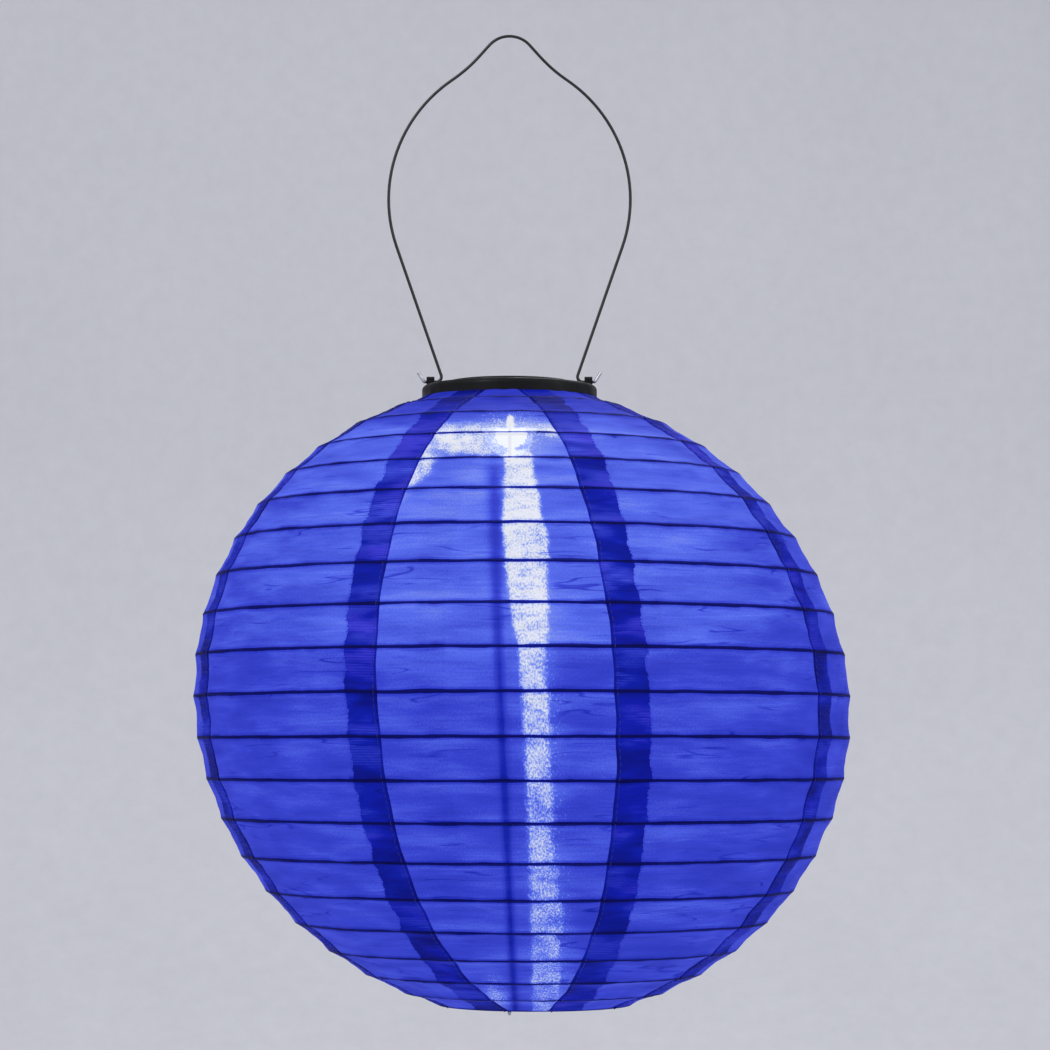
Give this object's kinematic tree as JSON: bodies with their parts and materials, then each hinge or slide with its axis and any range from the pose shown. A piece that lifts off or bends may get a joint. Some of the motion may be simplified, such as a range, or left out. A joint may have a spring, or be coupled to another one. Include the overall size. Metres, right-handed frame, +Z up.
{
  "type": "hanging fabric lantern",
  "caption": "Round hanging lantern: sewn fabric gores over wire hoops that fold flat, a swinging wire bail, and a lift-out solar light unit with a slide switch.",
  "frame": {"origin": "underside of the bail's crown, where the lantern hangs", "axes": "+Z up; the bail lies in the XZ plane; the light unit's switch is on the -X side and its battery on the +X side"},
  "size_m": [0.3023, 0.302, 0.4512],
  "materials": {
    "cover_fabric": "woven nylon, translucent",
    "hoop_wire": "dark enamelled steel wire",
    "bail_wire": "black coated steel wire",
    "spreader_wire": "spring steel wire",
    "black_plastic": "moulded black plastic",
    "switch_plastic": "moulded grey plastic",
    "switch_case": "plated switch can",
    "seal_rubber": "soft black rubber",
    "screw_steel": "zinc plated",
    "board_laminate": "green laminate",
    "cell_silicon": "dark blue silicon",
    "glaze": "clear resin",
    "lead_sleeve": "insulated wire",
    "chip_plastic": "black epoxy",
    "battery_steel": "nickel plated steel",
    "battery_wrap": "shrink sleeve",
    "contact_metal": "sprung brass strip",
    "led_epoxy": "clear epoxy lamp",
    "led_pins": "tinned pins",
    "dome_plastic": "clear moulded lens"
  },
  "bodies": {
    "bail": {"bail": "bail_wire"},
    "lantern": {"collar_ring": "black_plastic", "hem_clip_ring": "black_plastic", "top_hoop": "hoop_wire", "gore_1": "cover_fabric", "gore_2": "cover_fabric", "gore_3": "cover_fabric", "gore_4": "cover_fabric", "gore_5": "cover_fabric", "gore_6": "cover_fabric", "gore_7": "cover_fabric", "gore_8": "cover_fabric"},
    "light_unit": {"light_housing": "black_plastic", "unit_cover": "black_plastic", "cover_seal": "seal_rubber", "cover_screws": "screw_steel", "panel_board": "board_laminate", "solar_cells": "cell_silicon", "panel_glaze": "glaze", "panel_leads": "lead_sleeve", "circuit_board": "board_laminate", "board_parts": "chip_plastic", "battery_cell": "battery_steel", "battery_sleeve": "battery_wrap", "contact_plus": "contact_metal", "contact_minus": "contact_metal", "led": "led_epoxy", "led_leads": "led_pins", "led_dome": "dome_plastic", "switch_body": "switch_case"},
    "switch": {"switch_knob": "switch_plastic"},
    "spreader": {"spreader": "spreader_wire"},
    "foot": {"foot_ring": "hoop_wire"},
    "hoop_01": {"hoop_01": "hoop_wire"},
    "hoop_02": {"hoop_02": "hoop_wire"},
    "hoop_03": {"hoop_03": "hoop_wire"},
    "hoop_04": {"hoop_04": "hoop_wire"},
    "hoop_05": {"hoop_05": "hoop_wire"},
    "hoop_06": {"hoop_06": "hoop_wire"},
    "hoop_07": {"hoop_07": "hoop_wire"},
    "hoop_08": {"hoop_08": "hoop_wire"},
    "hoop_09": {"hoop_09": "hoop_wire"},
    "hoop_10": {"hoop_10": "hoop_wire"},
    "hoop_11": {"hoop_11": "hoop_wire"},
    "hoop_12": {"hoop_12": "hoop_wire"},
    "hoop_13": {"hoop_13": "hoop_wire"},
    "hoop_14": {"hoop_14": "hoop_wire"},
    "hoop_15": {"hoop_15": "hoop_wire"},
    "hoop_16": {"hoop_16": "hoop_wire"},
    "hoop_17": {"hoop_17": "hoop_wire"},
    "hoop_18": {"hoop_18": "hoop_wire"},
    "hoop_19": {"hoop_19": "hoop_wire"}
  },
  "joints": [
    {"name": "bail_swing", "type": "hinge", "parent": "bail", "child": "lantern", "pos_m": [0, 0, -0.1615], "axis": [1, 0, 0], "range_deg": [-90, 90]},
    {"name": "unit_lift", "type": "slide", "parent": "lantern", "child": "light_unit", "axis": [0, 0, 1], "range_m": [0, 0.06]},
    {"name": "switch_slide", "type": "slide", "parent": "light_unit", "child": "switch", "axis": [0, 1, 0], "range_m": [0, 0.002]},
    {"name": "spreader_out", "type": "slide", "parent": "lantern", "child": "spreader", "axis": [0, 0, -1], "range_m": [0, 0.29]},
    {"name": "fold_flat", "type": "slide", "parent": "lantern", "child": "foot", "axis": [0, 0, 1], "range_m": [0, 0.25232], "deforming": ["gore_1", "gore_2", "gore_3", "gore_4", "gore_5", "gore_6", "gore_7", "gore_8"]},
    {"name": "hoop_01_rise", "type": "slide", "parent": "lantern", "child": "hoop_01", "axis": [0, 0, 1], "range_m": [0, 0.00344]},
    {"name": "hoop_02_rise", "type": "slide", "parent": "lantern", "child": "hoop_02", "axis": [0, 0, 1], "range_m": [0, 0.01116]},
    {"name": "hoop_03_rise", "type": "slide", "parent": "lantern", "child": "hoop_03", "axis": [0, 0, 1], "range_m": [0, 0.02118]},
    {"name": "hoop_04_rise", "type": "slide", "parent": "lantern", "child": "hoop_04", "axis": [0, 0, 1], "range_m": [0, 0.03234]},
    {"name": "hoop_05_rise", "type": "slide", "parent": "lantern", "child": "hoop_05", "axis": [0, 0, 1], "range_m": [0, 0.04511]},
    {"name": "hoop_06_rise", "type": "slide", "parent": "lantern", "child": "hoop_06", "axis": [0, 0, 1], "range_m": [0, 0.05927]},
    {"name": "hoop_07_rise", "type": "slide", "parent": "lantern", "child": "hoop_07", "axis": [0, 0, 1], "range_m": [0, 0.07459]},
    {"name": "hoop_08_rise", "type": "slide", "parent": "lantern", "child": "hoop_08", "axis": [0, 0, 1], "range_m": [0, 0.0908]},
    {"name": "hoop_09_rise", "type": "slide", "parent": "lantern", "child": "hoop_09", "axis": [0, 0, 1], "range_m": [0, 0.10762]},
    {"name": "hoop_10_rise", "type": "slide", "parent": "lantern", "child": "hoop_10", "axis": [0, 0, 1], "range_m": [0, 0.12476]},
    {"name": "hoop_11_rise", "type": "slide", "parent": "lantern", "child": "hoop_11", "axis": [0, 0, 1], "range_m": [0, 0.14194]},
    {"name": "hoop_12_rise", "type": "slide", "parent": "lantern", "child": "hoop_12", "axis": [0, 0, 1], "range_m": [0, 0.15885]},
    {"name": "hoop_13_rise", "type": "slide", "parent": "lantern", "child": "hoop_13", "axis": [0, 0, 1], "range_m": [0, 0.17522]},
    {"name": "hoop_14_rise", "type": "slide", "parent": "lantern", "child": "hoop_14", "axis": [0, 0, 1], "range_m": [0, 0.19075]},
    {"name": "hoop_15_rise", "type": "slide", "parent": "lantern", "child": "hoop_15", "axis": [0, 0, 1], "range_m": [0, 0.20518]},
    {"name": "hoop_16_rise", "type": "slide", "parent": "lantern", "child": "hoop_16", "axis": [0, 0, 1], "range_m": [0, 0.21827]},
    {"name": "hoop_17_rise", "type": "slide", "parent": "lantern", "child": "hoop_17", "axis": [0, 0, 1], "range_m": [0, 0.22979]},
    {"name": "hoop_18_rise", "type": "slide", "parent": "lantern", "child": "hoop_18", "axis": [0, 0, 1], "range_m": [0, 0.23954]},
    {"name": "hoop_19_rise", "type": "slide", "parent": "lantern", "child": "hoop_19", "axis": [0, 0, 1], "range_m": [0, 0.24736]}
  ],
  "couplings": [
    {"joint": "hoop_01_rise", "follows": "fold_flat", "ratio": 0.013559},
    {"joint": "hoop_02_rise", "follows": "fold_flat", "ratio": 0.044142},
    {"joint": "hoop_03_rise", "follows": "fold_flat", "ratio": 0.083854},
    {"joint": "hoop_04_rise", "follows": "fold_flat", "ratio": 0.12808},
    {"joint": "hoop_05_rise", "follows": "fold_flat", "ratio": 0.17869},
    {"joint": "hoop_06_rise", "follows": "fold_flat", "ratio": 0.23484},
    {"joint": "hoop_07_rise", "follows": "fold_flat", "ratio": 0.29554},
    {"joint": "hoop_08_rise", "follows": "fold_flat", "ratio": 0.35978},
    {"joint": "hoop_09_rise", "follows": "fold_flat", "ratio": 0.42644},
    {"joint": "hoop_10_rise", "follows": "fold_flat", "ratio": 0.49439},
    {"joint": "hoop_11_rise", "follows": "fold_flat", "ratio": 0.56246},
    {"joint": "hoop_12_rise", "follows": "fold_flat", "ratio": 0.6295},
    {"joint": "hoop_13_rise", "follows": "fold_flat", "ratio": 0.69434},
    {"joint": "hoop_14_rise", "follows": "fold_flat", "ratio": 0.75589},
    {"joint": "hoop_15_rise", "follows": "fold_flat", "ratio": 0.81309},
    {"joint": "hoop_16_rise", "follows": "fold_flat", "ratio": 0.86496},
    {"joint": "hoop_17_rise", "follows": "fold_flat", "ratio": 0.91062},
    {"joint": "hoop_18_rise", "follows": "fold_flat", "ratio": 0.94927},
    {"joint": "hoop_19_rise", "follows": "fold_flat", "ratio": 0.98027}
  ]
}
